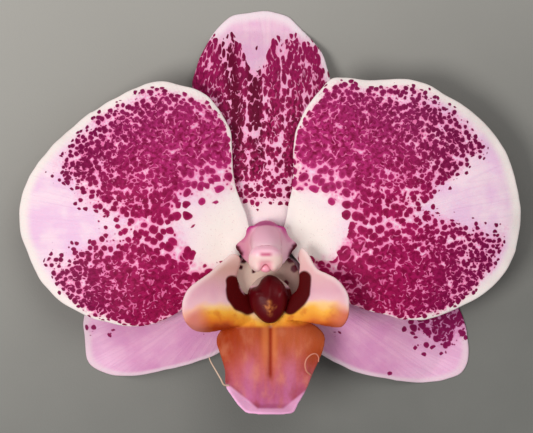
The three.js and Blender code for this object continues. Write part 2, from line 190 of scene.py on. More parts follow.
MM = 0.001
HEART = Vector((-0.7, -5.3, 0))
JOIN_GAP = 0.3
RECEPTACLE_Z = 9.7
OVARY_RADIUS = 2.4
STALK_RADIUS = 1.5
RIBS = 6
RIB_HEIGHT = 0.16
CUT_RIM = 0.00012
CUT_DEPTH = 0.00015


def smoothstep(value, start, end):
    """0 where value is at start, 1 where it is at end, and smooth between."""
    share = min(1.0, max(0.0, (value - start) / (end - start)))
    return share * share * (3 - 2 * share)


def curve_through(points, closed=False, steps=12):
    """Points close together on the smooth curve through the given ones."""
    if closed:
        row = [points[-1], *points, points[0], points[1]]
    else:
        row = [points[0] * 2 - points[1], *points, points[-1] * 2 - points[-2]]
    fine = []
    for before, start, end, after in zip(row, row[1:], row[2:], row[3:]):
        leave = start + (end - before) / 6
        arrive = end - (after - start) / 6
        fine += interpolate_bezier(start, leave, arrive, end, steps + 1)[:-1]
    return fine if closed else fine + [points[-1]]


def tube(points, radius, sides, steps=6):
    """A closed round bar along a curve, in millimetres; radius(along, angle) is its thickness."""
    line = curve_through([Vector(point) for point in points], steps=steps)
    normal = Vector((1, 0, 0))
    rings = []
    for index, centre in enumerate(line):
        ahead = line[min(index + 1, len(line) - 1)] - line[max(index - 1, 0)]
        ahead.normalize()
        normal = (normal - ahead * normal.dot(ahead)).normalized()
        rings.append((centre, normal, ahead.cross(normal)))
    mesh = bmesh.new()
    bmesh.ops.create_grid(mesh, x_segments=sides, y_segments=len(rings) - 1, size=0.5)
    for vert in mesh.verts:
        angle = (vert.co.x + 0.5) * 2 * math.pi
        along = vert.co.y + 0.5
        centre, normal, beside = rings[round(along * (len(rings) - 1))]
        reach = radius(along, angle)
        vert.co = (centre + (normal * math.cos(angle) + beside * math.sin(angle)) * reach) * MM
    bmesh.ops.remove_doubles(mesh, verts=mesh.verts, dist=1e-6)
    bmesh.ops.holes_fill(mesh, edges=mesh.edges, sides=0)
    bmesh.ops.recalc_face_normals(mesh, faces=mesh.faces)
    return mesh


def show(name, mesh, materials, replaced):
    """A finished mesh as a piece of the bloom, standing for its CAD node."""
    data = bpy.data.meshes.new(name)
    mesh.to_mesh(data)
    mesh.free()
    for polygon in data.polygons:
        polygon.use_smooth = True
    for material in materials:
        data.materials.append(material)
    body = bpy.data.objects.new(name, data)
    scene.collection.objects.link(body)
    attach(body, "root")
    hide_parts(replaced)
    return body


def soften(body):
    """Subdivides a piece once, smoothly."""
    modifier = body.modifiers.new("smooth", "SUBSURF")
    modifier.levels = 1
    modifier.render_levels = 1


def new_group(name, inputs, outputs):
    """A shader node group: its tree, and the sockets that come in and go out, by name. inputs
    gives each one's kind, and the outputs are all numbers."""
    tree = bpy.data.node_groups.new(name, "ShaderNodeTree")
    for socket, kind in inputs.items():
        tree.interface.new_socket(socket, in_out="INPUT", socket_type="NodeSocket" + kind)
    for socket in outputs:
        tree.interface.new_socket(socket, in_out="OUTPUT", socket_type="NodeSocketFloat")
    inlets = tree.nodes.new("NodeGroupInput").outputs
    return tree, inlets, tree.nodes.new("NodeGroupOutput").inputs


flesh, inlets, outlets = new_group("flesh", {"Place": "Vector"}, ["Cells", "Mottle"])
cells = add("TexVoronoi", {"Vector": inlets["Place"], "Scale": 4200}).outputs["Distance"]
swell = cloud(inlets["Place"], 500)
flesh.links.new(figure("MULTIPLY_ADD", cells, -0.35, swell), outlets["Cells"])
flesh.links.new(cloud(inlets["Place"], 160), outlets["Mottle"])


def flesh_of(tree):
    """The fine cells and the faint mottling that all of the bloom's skin has."""
    skin = add("Group", {"Place": place_on(tree)}, node_tree=flesh).outputs
    return skin["Cells"], skin["Mottle"]


def parts_of(vector):
    """The three numbers that a place or another vector is made of."""
    return add("SeparateXYZ", {0: vector}).outputs


def pedicel_radius(along, angle):
    ribs = RIB_HEIGHT * math.cos(RIBS * angle) * smoothstep(along, 0.75, 0.45)
    return OVARY_RADIUS + (STALK_RADIUS - OVARY_RADIUS) * smoothstep(along, 0.1, 0.75) + ribs


pedicel_mesh = tube(
    [
        (HEART.x, HEART.y, RECEPTACLE_Z - JOIN_GAP), (HEART.x, HEART.y, 8.4), (HEART.x, -4.8, 6.8),
        (HEART.x, -3.4, 4.6), (HEART.x, 0, 2.8), (HEART.x, 6, 2.3), (HEART.x + 0.4, 14, 2.3),
        (HEART.x + 1, 23, 2.2),
    ],
    pedicel_radius, 48,
)
cut_ends = [face for face in pedicel_mesh.faces if len(face.verts) > 4]
bmesh.ops.inset_region(pedicel_mesh, faces=cut_ends, thickness=CUT_RIM, depth=0.0)
bmesh.ops.inset_region(pedicel_mesh, faces=cut_ends, thickness=2 * CUT_DEPTH, depth=-CUT_DEPTH)

material, tree, shader = new_material("stalk_skin", 0.45)
cell, mottle = flesh_of(tree)
_, y, z = parts_of(place_on(tree))
green = coats((150, 165, 100), [
    (mottle, (178, 186, 124)),
    (fade(z, 0.003, 0.009), (205, 165, 180)),
    (fade(y, 0.0226, 0.023), (150, 125, 80)),
])
finish_with(shader, green, cell, depth=0.00006)
soften(show("pedicel_skin", pedicel_mesh, [material], "pedicel"))


# Sepals
# Three fleshy blades behind the petals. The upper one is barred with lengthwise rows of merged
# maroon blotches, and the two lower ones are lilac with mauve veins and a few spots. Each bends
# back from the middle of the bloom and lies on the table at its tip.

HEART_RADIUS = 3.35
SEPAL_THICKNESS = 0.9
SEPAL_CLAW_Z = 10.5
MARGIN_SHARE = 0.35
FRILL = 0.22
FRILL_SIZE = 3.2
TABLE_GAP = 0.02


def hump(value, middle, width):
    """1 where value is at middle, falling away smoothly to both sides."""
    return math.exp(-((value - middle) / width) ** 2)


def margin_of(outline):
    """The smooth closed line through an outline, as a function of the share of the way round."""
    corners = [Vector((x, y, 0)) for x, y in outline]
    turned = sum(a.x * b.y - b.x * a.y for a, b in zip(corners, corners[1:] + corners[:1]))
    if turned < 0:
        corners.reverse()
    line = curve_through(corners, closed=True)
    lengths = [0.0]
    for here, there in zip(line, line[1:] + line[:1]):
        lengths.append(lengths[-1] + (there - here).length)

    def at(turn):
        reach = (turn % 1.0) * lengths[-1]
        step = min(bisect(lengths, reach) - 1, len(line) - 1)
        share = (reach - lengths[step]) / (lengths[step + 1] - lengths[step])
        return line[step].lerp(line[(step + 1) % len(line)], share)

    return at


def web(outline, hub, cells):
    """A square grid drawn out to a round outline, with each vertex's share of the way from the
    hub to the margin. The grid stays flat, in millimetres."""
    margin = margin_of(outline)
    middle = Vector((*hub, 0))
    mesh = bmesh.new()
    share_of = mesh.verts.layers.float.new("share")
    bmesh.ops.create_grid(mesh, x_segments=cells, y_segments=cells, size=1)
    for vert in mesh.verts:
        across, up = vert.co.x, vert.co.y
        share = max(abs(across), abs(up))
        if share < 1e-6:
            turn = 0.0
        elif abs(across) >= abs(up):
            turn = up / across / 8 + (0.5 if across < 0 else 0.0)
        else:
            turn = 0.25 - across / up / 8 + (0.5 if up < 0 else 0.0)
        vert.co = middle.lerp(margin(turn), share)
        vert[share_of] = share
    return mesh


def near(x, y, path):
    """How far a place is from a line drawn through points, in millimetres."""
    here = Vector((x, y, 0))
    best = 1e9
    for start, end in zip(path, path[1:]):
        start, end = Vector((*start, 0)), Vector((*end, 0))
        _, share = intersect_point_line(here, start, end)
        best = min(best, (here - start.lerp(end, min(1.0, max(0.0, share)))).length)
    return best


def clear_of_heart(point):
    """Eases a blade's inner end outward, to close round the column's base."""
    outward = Vector((point.x - HEART.x, point.y - HEART.y, 0))
    reach = outward.length
    eased = (reach ** 4 + (HEART_RADIUS + 0.04) ** 4) ** 0.25
    return point + outward * (eased / reach - 1)


def blade(name, outline, hub, cells, thickness, height, marks, materials):
    """A thin blade of the bloom, thinner at its margin. height(x, y, share) gives its middle
    surface, and marks(x, y, share) the attributes that its markings follow."""
    mesh = web(outline, hub, cells)
    share_of = mesh.verts.layers.float["share"]
    thick_of = mesh.verts.layers.deform.verify()
    spread_of = mesh.verts.layers.float_vector.new("spread")
    fan_of = mesh.verts.layers.float_vector.new("fan")
    crowd_of = mesh.verts.layers.float.new("crowding")
    for vert in mesh.verts:
        share = vert[share_of]
        x, y = vert.co.x, vert.co.y
        frill = FRILL * share ** 3 * noise.noise(Vector((x, y, 7)) / FRILL_SIZE)
        vert[spread_of], vert[fan_of], vert[crowd_of] = marks(x, y, share)
        weight = MARGIN_SHARE + (1 - MARGIN_SHARE) * (1 - share ** 5)
        vert[thick_of][0] = weight
        point = clear_of_heart(vert.co + (vert.co - Vector((*hub, 0))).normalized() * frill)
        point.z = max(height(x, y, share), thickness * weight / 2 + TABLE_GAP)
        vert.co = point * MM
    body = show(name + "_blade", mesh, materials, name)
    body.vertex_groups.new(name="thick")
    wall = body.modifiers.new("wall", "SOLIDIFY")
    wall.thickness = thickness * MM
    wall.offset = 0
    wall.vertex_group = "thick"
    wall.material_offset = 1
    soften(body)


def gap_to(value, middle):
    """How far a number is from a middle one, to either side."""
    return figure("ABSOLUTE", figure("SUBTRACT", value, middle))


# The spots run by a place on the blade, which is stretched where they are large, and by how
# crowded they are there.
spots, inlets, outlets = new_group(
    "spots", {"Spread": "Vector", "Density": "Float"}, ["Spot", "Halo", "Deep", "Solid"],
)
spread, density = inlets["Spread"], inlets["Density"]
drift = add("TexNoise", {"Vector": spread, "Scale": 0.9, "Detail": 1.0}).outputs["Color"]
off = add("VectorMath", {0: drift, 1: (0.5, 0.5, 0.5)}, operation="SUBTRACT").outputs[0]
feeds = {0: off, 1: (0.5, 0.5, 0), 2: spread}
bent = add("VectorMath", feeds, operation="MULTIPLY_ADD").outputs[0]
patch = add("TexNoise", {"Vector": spread, "Scale": 0.42, "Detail": 1.0}).outputs["Fac"]
crowded = figure("MULTIPLY_ADD", figure("SUBTRACT", patch, 0.5), 0.9, density)
crowded = times(crowded, fade(density, 0.0, 0.12))


def scattered(scale, shift, start, kept, least, growth):
    """One scattering of round spots: how far inside its nearest one a place is, and the tone of
    that one. Above start, the more crowded a place is, the more and larger are its spots."""
    moved = add("VectorMath", {0: bent, 1: (shift, shift / 3, 0)}).outputs[0]
    feeds = {"Vector": moved, "Scale": scale, "Randomness": 0.88}
    nearest = add("TexVoronoi", feeds, voronoi_dimensions="2D").outputs
    lot = add("SeparateColor", {0: nearest["Color"]}).outputs
    above = times(figure("SUBTRACT", crowded, start), kept)
    chance = figure("SUBTRACT", above, lot["Green"])
    size = figure("MULTIPLY_ADD", lot["Red"], 0.14, least)
    size = figure("MULTIPLY_ADD", crowded, growth, size)
    reach = times(size, fade(chance, 0.0, 0.15))
    inside = figure("SUBTRACT", reach, nearest["Distance"])
    return figure("DIVIDE", inside, scale), lot["Blue"]


first, tone = scattered(scale=1.0, shift=0.0, start=0.0, kept=1.9, least=0.25, growth=0.12)
second, _ = scattered(scale=1.15, shift=9.3, start=0.4, kept=2.2, least=0.22, growth=0.14)
small, _ = scattered(scale=2.2, shift=4.6, start=0.0, kept=0.45, least=0.16, growth=0.1)
whole = figure("MAXIMUM", figure("MAXIMUM", first, second), small)
solid = fade(crowded, 0.75, 1.15)
whole = figure("MULTIPLY_ADD", solid, 0.17, whole)

# Where the spots have run together, short thin lines of light flesh are left between them.
line = fade(gap_to(cloud(bent, 1.1, 1.0), 0.5), 0.055, 0.02)
moved = add("VectorMath", {0: bent, 1: (7.3, 2.1, 0)}).outputs[0]
line = times(line, fade(cloud(moved, 1.2, 1.0), 0.5, 0.6))
line = times(line, fade(crowded, 0.65, 0.9))
spotted = times(fade(whole, -0.04, 0.05), fade(line, 0.0, 1.0, 1.0, 0.1))
near_spot = times(fade(whole, -0.34, 0.0), fade(crowded, 0.1, 0.9))

depth = figure("MULTIPLY_ADD", tone, 0.45, times(whole, 1.6), clamp=True)
merged_depth = fade(cloud(bent, 2.2, 2.0), 0.38, 0.64)
change = figure("SUBTRACT", merged_depth, depth)
depth = figure("MULTIPLY_ADD", change, times(solid, 0.75), depth)
for name, source in (("Spot", spotted), ("Halo", near_spot), ("Deep", depth), ("Solid", solid)):
    spots.links.new(source, outlets[name])

veins, inlets, outlets = new_group("veins", {"Fan": "Vector"}, ["Vein"])
coarse = gap_to(cloud(inlets["Fan"], 1.0, 2.0, (13, 0.035, 0)), 0.5)
fine = gap_to(cloud(inlets["Fan"], 1.0, 1.0, (34, 0.06, 0)), 0.5)
fine = times(fade(fine, 0.11, 0.0), 0.6)
veins.links.new(figure("MAXIMUM", fade(coarse, 0.06, 0.0), fine), outlets["Vein"])


def laid(tree, name, kind="Vector"):
    """An attribute that is laid along a piece."""
    return add("Attribute", {}, tree, attribute_name=name).outputs[kind]


def markings_of(tree):
    """The spots and veins of a blade, and the place along it: the angle about its root, how far
    out it is in millimetres, and the share of the way to its margin."""
    fan = laid(tree, "fan")
    feeds = {"Spread": laid(tree, "spread"), "Density": laid(tree, "crowding", "Fac")}
    spotted = add("Group", feeds, node_tree=spots).outputs
    veined = add("Group", {"Fan": fan}, node_tree=veins).outputs["Vein"]
    return spotted, veined, *parts_of(fan)


def thin_flesh(shader, weight=0.12):
    """Light passes a little way into a petal's flesh."""
    shader.inputs["Subsurface Weight"].default_value = weight
    shader.inputs["Subsurface Radius"].default_value = (1.0, 0.55, 0.6)
    shader.inputs["Subsurface Scale"].default_value = 0.0008


def blade_skin(
    name, ground, pale, base, rim, spot, deep, outer, halo, vein, vein_share, back,
    strip=0.0, upper_highlight=None, lower=None, far=None,
):
    """The two materials of a blade: its marked face, and its back, blended with the colour back.
    Its flesh runs from ground to pale, with base at its claw, far at its outer end, rim along its
    margin and halo round its spots. They run from spot to deep, with outer far out. upper_highlight
    lightens the spots of the blade's higher part, a painted highlight, and lower darkens those of its
    bottom part, painted shade. strip is the share of two dark strips up its middle."""
    skins = []
    for side in ("face", "back"):
        material, tree, shader = new_material(f"{name}_{side}", 0.5, 0.09)
        cell, mottle = flesh_of(tree)
        spotted, veined, angle, along, share = markings_of(tree)
        veined = times(veined, fade(along, 9, 24, 0.15, 1.0))
        plain = blend(fade(mottle, 0.38, 0.62), ground, pale)
        colour = coats(blend(fade(along, 6, 20), base, plain), [
            (fade(along, 33, 41, 0.0, 0.7 if far else 0.0), far or pale),
            (times(veined, vein_share), vein),
            (fade(share, 0.88, 0.96), rim),
            (spotted["Halo"], halo),
            (times(spotted["Solid"], 0.35), spot),
        ])
        beside_middle = gap_to(angle, -0.088)
        in_strip = fade(gap_to(beside_middle, 0.043), 0.05, 0.01)
        # upper_highlight is painted highlight on the higher spots, lower painted shade on the bottom ones
        tone = coats(spot, [
            (fade(angle, 0.3, 0.9), upper_highlight or spot),
            (fade(angle, -0.1, -0.7), lower or spot),
            (spotted["Deep"], deep),
            (fade(along, 24, 44, 0.0, 0.7), outer),
            (times(in_strip, fade(along, 15, 27, 0.0, strip)), deep),
        ])
        colour = blend(spotted["Spot"], colour, tone)
        if side == "back":
            colour = blend(0.55, colour, back)
        finish_with(shader, colour, figure("MULTIPLY_ADD", veined, 0.5, cell), depth=0.00007)
        thin_flesh(shader)
        skins.append(material)
    return skins


DORSAL_OUTLINE = [
    (-4.3, -3.4), (-5.4, -1.4), (-7, 1.2), (-9.6, 4.8), (-13, 11.9), (-15.6, 18.8), (-16.2, 25.5),
    (-15.9, 29), (-14.3, 33.2), (-11.8, 37.8), (-8.2, 41.2), (-3.9, 42.2), (-0.3, 42.4), (3.7, 41.3),
    (7.4, 37.8), (10.8, 34), (12.6, 28.8), (12.8, 24.2), (11.6, 18), (8.9, 11.3), (6.3, 4.8), (4.9, 1.2),
    (3.9, -1.4), (3, -3.4),
]

DORSAL_LENGTH = 44
DORSAL_DROP = 12.6
DORSAL_CURL = 2.2
DORSAL_GROOVE = 0.35


def dorsal_height(x, y, share):
    along = min(1.0, max(0.0, (y + 1.5) / DORSAL_LENGTH))
    groove = DORSAL_GROOVE * hump(x + 1.2, 0, 1.3) * (1 - share ** 2)
    ripple = 0.18 * share * noise.noise(Vector((x, y / 2.5, 3)) / 4)
    curl = DORSAL_CURL * share ** 3 * math.sin(math.pi * along)
    return SEPAL_CLAW_Z - DORSAL_DROP * along ** 2.4 - curl - groove + ripple


DORSAL_STREAKS = [
    [(-11.6, 36), (-10.8, 28), (-9, 21)], [(-7, 34.5), (-6.6, 22), (-6.4, 9)], [(-2.8, 29), (-2.6, 20)],
    [(0.4, 35), (1.2, 25), (0.6, 17)], [(4, 36), (5.6, 26), (4.2, 10)], [(8.6, 34), (10.6, 25), (8, 16)],
    [(-14.6, 29), (-13.4, 21), (-11.5, 14)], [(-2.6, 12), (-2.2, 7.5)],
]


def dorsal_marks(x, y, share):
    spread = Vector((x * (0.68 + 0.007 * y), 0.7 * y - 0.005 * y * y, 0))
    fan = Vector((math.atan2(x + 1, y + 24), y + 8, share))
    tip = 37.0 + 1.6 * noise.noise(Vector((x, 2, 0)) / 1.6) - 7.5 * hump(x, -2.6, 2.9)
    clear = max(smoothstep(y, tip - 2.5, tip + 2.0), smoothstep(y, 3.6, 0.2))
    clear = min(clear, 1 - 0.14 * hump(x, -2.6, 1.6))
    rim = 0.7 * smoothstep(share, 0.9, 1.0) * smoothstep(x, 0, 6)
    streak = max(hump(near(x, y, line), 0, 1.2) for line in DORSAL_STREAKS)
    left_edge = 0.2 * smoothstep(-x, 11, 14)
    return spread, fan, (1 - max(clear, rim)) * (0.7 + 0.4 * streak + left_edge)


dorsal_skin = blade_skin(
    "dorsal", ground=(234, 180, 210), pale=(242, 200, 216), base=(252, 228, 226),
    rim=(246, 222, 228), spot=(178, 26, 94), deep=(90, 0, 32), outer=(150, 20, 82),
    halo=(250, 158, 198), vein=(224, 164, 204), vein_share=0.3, back=(226, 196, 204),
    strip=0.8,
)
blade(
    "sepal_dorsal", DORSAL_OUTLINE, (-1.8, 20), 56, SEPAL_THICKNESS, dorsal_height, dorsal_marks,
    dorsal_skin,
)

LATERAL_LEFT_OUTLINE = [
    (-2.6, -8), (-4.4, -8.6), (-7.4, -10.3), (-13.5, -11.7), (-22.9, -14.2), (-32.3, -16.7), (-37.9, -19),
    (-39.3, -22.8), (-39.1, -26.1), (-38.5, -30.9), (-36.5, -33.2), (-32.9, -34.5), (-28.1, -34.5),
    (-21.8, -33.2), (-15.3, -31.5), (-9.3, -28.6), (-4.3, -23), (-1.4, -16.3), (-1, -11), (-1.2, -8),
]
LATERAL_RIGHT_OUTLINE = [
    (1.2, -8), (3, -8.6), (6, -10.4), (13.7, -12.1), (24.1, -14.2), (33.5, -16.3), (38.9, -18.8),
    (41.2, -23.6), (42.1, -29.2), (41, -33.6), (37.3, -35.3), (32.3, -36), (26.2, -35.3), (18.3, -33.6),
    (11.6, -30.3), (6.4, -26.3), (2.4, -21.5), (0, -16.3), (-0.4, -11), (-0.2, -8),
]

LATERAL_DROP = 10.2
LATERAL_CURL = 0.9

lateral_skin = blade_skin(
    "lateral", ground=(220, 150, 190), pale=(228, 168, 198), base=(236, 196, 210),
    rim=(238, 204, 216), spot=(150, 20, 84), deep=(112, 6, 60), outer=(140, 20, 84),
    halo=(228, 140, 190), vein=(206, 134, 182), vein_share=0.28, back=(226, 202, 210),
    far=(248, 198, 224),
)


def lateral_sepal(name, outline, hub, reach, blotches):
    """One lower sepal; blotches are the middles and sizes of its few spotted places."""
    root = Vector((HEART.x, -10))

    def height(x, y, share):
        along = (Vector((x, y)) - root).length / reach
        curl = LATERAL_CURL * share ** 3 * min(1, 2 * along)
        ripple = 0.2 * share * noise.noise(Vector((x, y, 11)) / 5)
        return SEPAL_CLAW_Z - LATERAL_DROP * along ** 1.7 - curl + ripple

    def marks(x, y, share):
        away = Vector((x, y)) - root
        fan = Vector((math.atan2(-away.y, abs(away.x)), away.length, share))
        density = sum(heavy * hump((Vector((x, y)) - Vector(spot)).length, 0, size)
                      for spot, size, heavy in blotches)
        return Vector((x * 0.56, y * 0.56, 0)), fan, min(1.0, density)

    blade(name, outline, hub, 48, SEPAL_THICKNESS, height, marks, lateral_skin)


lateral_sepal("sepal_lateral_left", LATERAL_LEFT_OUTLINE, (-22, -23.5), 41, [
    ((-37.9, -24.4), 1.2, 0.5), ((-33.2, -25.6), 1.4, 0.5), ((-22.9, -29.6), 0.9, 0.4),
    ((-13.5, -26.3), 0.9, 0.4), ((-28, -22.5), 3.5, 0.35),
])
lateral_sepal("sepal_lateral_right", LATERAL_RIGHT_OUTLINE, (23.5, -24), 43.5, [
    ((35.5, -24.0), 4.6, 1.0), ((40.2, -22.8), 3.0, 1.0), ((30.5, -24.4), 1.5, 0.5),
    ((25.1, -34.5), 0.9, 0.4), ((13.7, -25.7), 0.9, 0.4),
])


# Petals
# Two broad, fleshy blades, the widest part of the bloom. Each stands on a narrow cream claw
# beside the column, is crowned in its middle and droops to a pale, gently waved margin. Round
# purple spots merge above and below, and leave the claw and a lilac wedge at the outer side bare.

PETAL_THICKNESS = 0.8
PETAL_CLAW_Z = 12.4
PETAL_REACH = 48
PETAL_DROOP = 3.6
PETAL_CROWN = 3.2
PETAL_WAVE = 0.45
PETAL_GROOVE = 0.3
PETAL_RIPPLE = 0.35
PETAL_FRILL = 0.3

PETAL_LEFT_OUTLINE = [
    (-3, -5), (-3.9, -3.2), (-4.9, -0.4), (-6.4, 3.5), (-7.6, 8.3), (-7.8, 12.9), (-8.7, 18.4),
    (-13, 24.2), (-18.7, 26.7), (-24.9, 27.1), (-32, 24), (-39.6, 19.2), (-46.7, 12.5), (-50.8, 6.5),
    (-52.5, -0.4), (-51.2, -7.5), (-47.1, -15.4), (-40.6, -20.7), (-33.9, -23.2), (-27.5, -24),
    (-21.6, -22.3), (-16.6, -19.2), (-12, -15.9), (-8.6, -12), (-6.4, -9.3), (-4.6, -7.6), (-3.2, -6.8),
]
PETAL_RIGHT_OUTLINE = [
    (1.6, -5), (2.6, -3.2), (3.6, 0), (4.9, 6.5), (4.9, 12.1), (5.7, 17.5), (8.5, 22.8), (12.6, 27.6),
    (15.8, 28.1), (21.4, 27.6), (27, 27.9), (32, 27.1), (36.8, 24.6), (42.3, 21.1), (47.1, 16.3),
    (50.4, 10.4), (52.5, 1.5), (52.3, -4.8), (50.6, -10.6), (47.1, -15.4), (41.4, -19.2), (33.7, -22.4),
    (28.3, -22.5), (22.6, -21.1), (17.2, -19.4), (12.2, -16.7), (8, -12.8), (5.2, -9.6), (3.3, -7.6),
    (1.8, -6.8),
]

petal_skin = blade_skin(
    "petal", ground=(240, 198, 224), pale=(248, 218, 228), base=(251, 236, 227),
    rim=(246, 230, 224), spot=(176, 22, 92), deep=(126, 0, 54), outer=(100, 6, 62),
    halo=(242, 124, 176), vein=(226, 180, 214), vein_share=0.2, back=(240, 212, 224),
    # the higher spots get a painted highlight, the bottom ones painted shade
    upper_highlight=(194, 46, 120), lower=(164, 14, 78),
)


def petal(
    name, outline, claw, hub, waves, bare_place, bare_reach, loose_place, cores,
    free_start, free_spread, free_middle, free_fringe,
):
    """One petal. The bare_ values place the spotless zone of its claw, loose_place is where the
    spots beside it stand apart, and cores are the middles of the densest zones. The free_ values
    place the spotless wedge: how far out it starts, how fast it opens, its middle angle in
    degrees, and how softly it ends."""
    root = Vector(claw)
    vein_line = (Vector(hub) - root).normalized()
    side = 1 if hub[0] > 0 else -1

    def height(x, y, share):
        away = Vector((x, y)) - root
        distance = away.length
        angle = math.atan2(y - hub[1], x - hub[0])
        droop = PETAL_DROOP * (distance / PETAL_REACH) ** 1.5
        crown = PETAL_CROWN * (1 - share * share) * (1 - math.exp(-(distance / 10) ** 2))
        wave = PETAL_WAVE * share ** 4 * math.sin(waves * angle) * min(1, distance / 25)
        groove = PETAL_GROOVE * hump(vein_line.cross(away), 0, 1.1)
        groove *= (1 - share) * smoothstep(distance, 3, 12)
        ripple = PETAL_RIPPLE * noise.noise(Vector((x, y, 5)) / 9) * smoothstep(distance, 4, 14)
        frill = PETAL_FRILL * share ** 4 * noise.noise(Vector((x, y, 9)) / 3.5)
        return PETAL_CLAW_Z - droop + crown + wave - groove + ripple + frill

    def marks(x, y, share):
        away = Vector((x, y)) - root
        distance = max(away.length, 0.2)
        turn = math.atan2(away.y, away.x * side)
        stretched = 0.053 * distance ** 1.6
        spread = Vector((stretched * math.cos(1.6 * turn), stretched * math.sin(1.6 * turn), 0))
        fan = Vector((turn, distance, share))

        # the claw's spotless zone, and the spotless wedge at the outer side
        off_bare = Vector((0.8 * (x - bare_place[0]), y - bare_place[1]))
        uneven = 1.5 * noise.noise(Vector((x, y, 4)) / 4)
        bare = smoothstep(off_bare.length + uneven, bare_reach, 4.6)
        opening = min(9.0, free_spread * max(0.0, distance - free_start))
        off_middle = abs(math.degrees(turn) - free_middle)
        wedge = smoothstep(off_middle, opening + free_fringe, opening - 2.5)
        wedge *= smoothstep(distance, free_start - free_fringe, free_start + 3)

        # the pale margin, widest at the outer side
        from_hub = Vector(((x - hub[0]) * side, y - hub[1])).normalized()
        outer_top = smoothstep(from_hub.x, -0.75, -0.35) * smoothstep(from_hub.y, -0.3, 0.1)
        inner = smoothstep(-from_hub.x, 0.8, 0.95)
        lower = smoothstep(-from_hub.y, 0.5, 0.85) * smoothstep(-from_hub.x, -0.4, 0.2)
        rim_end = 1.02 + 0.028 * max(inner, lower) - 0.02 * outer_top
        rim_end -= 0.075 * smoothstep(from_hub.x, 0.3, 0.9)
        rim = smoothstep(share, rim_end - 0.1, rim_end)

        # where the spots stand apart, and the densest zones
        middle = hump(math.degrees(turn), free_middle - 4, 13)
        thinned = 0.23 * middle * smoothstep(distance, 10, 20)
        thinned += 0.06 * smoothstep(distance, 30, 44)
        thinned += 0.32 * outer_top * smoothstep(share, 0.7, 0.95)
        thinned += 0.27 * hump((Vector((x, y)) - Vector(loose_place)).length, 0, 5)
        thinned -= 0.2 * max(hump((Vector((x, y)) - Vector(core)).length, 0, 11) for core in cores)
        return spread, fan, max(0.03, 1 - max(bare, wedge)) * (1 - rim) * (0.85 - thinned)

    blade(name, outline, hub, 72, PETAL_THICKNESS, height, marks, petal_skin)


petal(
    "petal_left", PETAL_LEFT_OUTLINE, claw=(-4.2, -6.5), hub=(-28, 1.5), waves=5,
    bare_place=(-9.0, -4.0), bare_reach=12.0, loose_place=(-12.5, 5.5),
    cores=[(-19, 15), (-27, -16)], free_start=30, free_spread=0.66, free_middle=6.8, free_fringe=11,
)
petal(
    "petal_right", PETAL_RIGHT_OUTLINE, claw=(3, -6.5), hub=(28, 3), waves=6,
    bare_place=(7.6, -3.2), bare_reach=9.8, loose_place=(10, 6),
    cores=[(17, 17), (28, -14)], free_start=30, free_spread=0.68, free_middle=13.8, free_fringe=5,
)


# Column
# The fused stamen and style, one fleshy bar that leans forward over the lip: mauve, ringed with
# purple at its base, with a low wing on each side and a pale, spotted foot like a scoop below.

FOOT_THICKNESS = 0.9
FOOT_Z = 11.6
WINGS_Z = 15.2


def shaped(mesh, kind, **settings):
    """The mesh as it is after one modifier."""
    data = bpy.data.meshes.new("shaping")
    mesh.to_mesh(data)
    mesh.free()
    body = bpy.data.objects.new("shaping", data)
    scene.collection.objects.link(body)
    body.vertex_groups.new(name="thick")
    modifier = body.modifiers.new("shaping", kind)
    for name, value in settings.items():
        setattr(modifier, name, value)
    result = bmesh.new()
    result.from_object(body, bpy.context.evaluated_depsgraph_get())
    bpy.data.objects.remove(body)
    bpy.data.meshes.remove(data)
    return result


def wall(outline, hub, cells, thickness, height, fleshy=lambda x, y, share: 1 - 0.5 * share ** 6):
    """A closed blade that is about to be grown together with others. fleshy gives the share of
    its full thickness that it has at a place."""
    mesh = web(outline, hub, cells)
    share_of = mesh.verts.layers.float["share"]
    thick_of = mesh.verts.layers.deform.verify()
    for vert in mesh.verts:
        x, y, share = vert.co.x, vert.co.y, vert[share_of]
        vert[thick_of][0] = fleshy(x, y, share)
        vert.co = Vector((x, y, height(x, y, share))) * MM
    return shaped(mesh, "SOLIDIFY", thickness=thickness * MM, offset=0, vertex_group="thick")


def together(parts):
    """Several meshes in one."""
    whole = bmesh.new()
    for part in parts:
        data = bpy.data.meshes.new("part")
        part.to_mesh(data)
        part.free()
        whole.from_mesh(data)
        bpy.data.meshes.remove(data)
    return whole


def grown_together(parts, grain, rounds):
    """Overlapping closed shells as one closed skin, with a mesh as fine as grain, in millimetres.
    Rounds of smoothing ease it where they meet."""
    skin = shaped(together(parts), "REMESH", mode="VOXEL", voxel_size=grain * MM)
    for _ in range(rounds):
        bmesh.ops.smooth_vert(
            skin, verts=skin.verts, factor=0.5, use_axis_x=True, use_axis_y=True, use_axis_z=True,
        )
    return skin


WINGS_OUTLINE = [
    (-4, -2.9), (-5.2, -5.2), (-7.1, -7), (-6.3, -8.6), (-5, -10.2), (-3.2, -11.2), (2, -11.2),
    (3.9, -9.6), (4.7, -8.4), (5.8, -6.8), (4, -5), (2.6, -2.9),
]
FOOT_OUTLINE = [
    (-2.6, -6.6), (-3.7, -8.4), (-5.8, -10.1), (-6.8, -12.2), (-6.9, -14), (-6.3, -15.8), (-5.2, -17.2),
    (-3.4, -18.8), (0.1, -19.8), (3.2, -18.9), (5.1, -17.4), (6.2, -15.6), (6.4, -13.6), (5.9, -11.8),
    (4.8, -10.1), (2.5, -8.6), (1.2, -6.6),
]


def collar_radius(along, angle):
    return HEART_RADIUS + 0.25 * smoothstep(along, 0.35, 0.6) - 0.6 * smoothstep(along, 0.7, 1.0)


